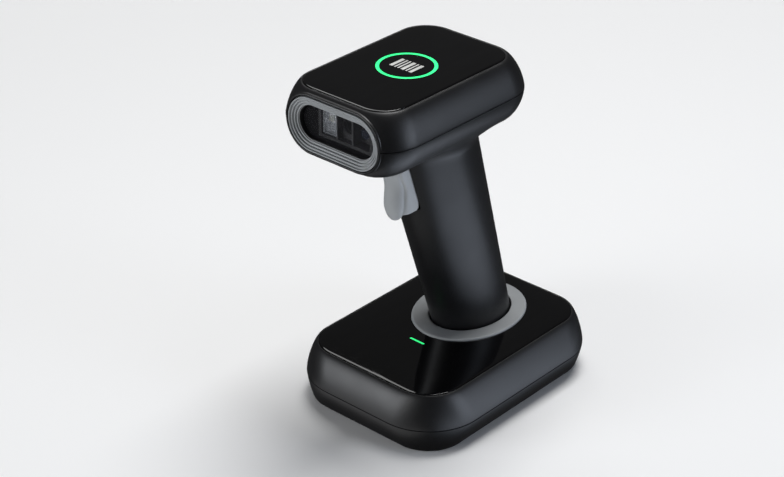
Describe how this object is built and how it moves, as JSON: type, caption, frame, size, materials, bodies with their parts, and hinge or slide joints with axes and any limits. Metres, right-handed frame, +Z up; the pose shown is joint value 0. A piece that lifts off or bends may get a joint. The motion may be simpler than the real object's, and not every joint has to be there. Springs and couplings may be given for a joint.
{
  "type": "cordless handheld barcode scanner with charging cradle",
  "caption": "Gun-shaped cordless barcode scanner with a wide rounded head, stepped window bezel, finger trigger and leaning handle, standing in a flat rounded charging cradle.",
  "frame": {"origin": "on the table under the middle of the object's box, with the scanner standing in its cradle", "axes": "+Z up; -Y is the way the scan window faces; +X is to the right of somebody holding the scanner"},
  "size_m": [0.092, 0.1352, 0.1671],
  "materials": {
    "scanner_shell": "satin moulded black",
    "cradle_shell": "satin moulded black",
    "gloss_plate": "mirror-gloss black",
    "grey_trim": "fine-textured grey",
    "green_light": "lit green, translucent",
    "led": "small white package",
    "circuit_board": "green solder mask",
    "screw_steel": "blackened zinc",
    "port_steel": "bright stamped",
    "spring_steel": "drawn wire",
    "ballast_iron": "plain",
    "black_insulator": "glass-filled, matte",
    "gold_contact": "gold-plated",
    "foot_rubber": "matte",
    "clear_plastic": "clear moulded plastic",
    "window_plastic": "clear flat plastic",
    "sensor_glass": "dark sensor cover",
    "lens_glass": "coated",
    "white_plunger": "smooth",
    "battery_wrap": "shrink sleeve"
  },
  "bodies": {
    "cradle": {"cradle_upper_shell": "cradle_shell", "cradle_lower_shell": "cradle_shell", "cradle_top_plate": "gloss_plate", "socket_ring": "grey_trim", "socket_cup": "cradle_shell", "cradle_light_pipe": "green_light", "cradle_status_led": "led", "cradle_board": "circuit_board", "cradle_board_screws": "screw_steel", "usb_c_receptacle": "port_steel", "usb_board": "circuit_board", "contact_pin_block": "black_insulator", "contact_pin_springs": "spring_steel", "ballast_plate": "ballast_iron", "rubber_feet": "foot_rubber", "cradle_screws": "screw_steel"},
    "scanner": {"head_upper_shell": "scanner_shell", "head_top_plate": "gloss_plate", "status_ring": "green_light", "status_light_guide": "clear_plastic", "status_ring_leds": "led", "scanner_housing": "scanner_shell", "window_bezel": "grey_trim", "scan_window": "window_plastic", "engine_chassis": "black_insulator", "engine_board": "circuit_board", "image_sensor": "sensor_glass", "camera_barrel": "black_insulator", "camera_lens": "lens_glass", "illumination_lens": "clear_plastic", "illumination_leds": "led", "aimer_lens": "lens_glass", "main_board": "circuit_board", "beeper": "black_insulator", "radio_module": "port_steel", "trigger_bracket": "black_insulator", "trigger_bracket_screws": "screw_steel", "trigger_pin": "spring_steel", "trigger_spring": "spring_steel", "trigger_switch": "black_insulator", "switch_board": "circuit_board", "battery": "battery_wrap", "battery_holder": "black_insulator", "handle_end_cap": "scanner_shell", "charging_contacts": "gold_contact", "charging_board": "circuit_board", "end_cap_screws": "screw_steel", "head_screws": "screw_steel"},
    "trigger": {"trigger": "grey_trim"},
    "switch_plunger": {"switch_plunger": "white_plunger"},
    "contact_pins": {"contact_pins": "gold_contact"}
  },
  "joints": [
    {"name": "scanner_lift", "type": "slide", "parent": "cradle", "child": "scanner", "axis": [0, -0.294, 0.9558], "range_m": [0, 0.08]},
    {"name": "trigger_pull", "type": "hinge", "parent": "scanner", "child": "trigger", "pos_m": [0, -0.02815, 0.1415], "axis": [1, 0, 0], "range_deg": [0, 5], "stiffness_Nm_per_rad": 0.5, "springref_deg": -6.88, "deforming": ["trigger_spring"]},
    {"name": "plunger_press", "type": "slide", "parent": "scanner", "child": "switch_plunger", "axis": [0, 1, 0], "range_m": [0, 0.0022]},
    {"name": "contact_pin_travel", "type": "slide", "parent": "cradle", "child": "contact_pins", "axis": [0, -0.294, 0.9558], "range_m": [-0.0008, 0], "stiffness_N_per_m": 250, "springref_m": 0.0012, "deforming": ["contact_pin_springs"]}
  ],
  "couplings": [
    {"joint": "plunger_press", "follows": "trigger_pull", "m_per_rad": 0.0235}
  ]
}
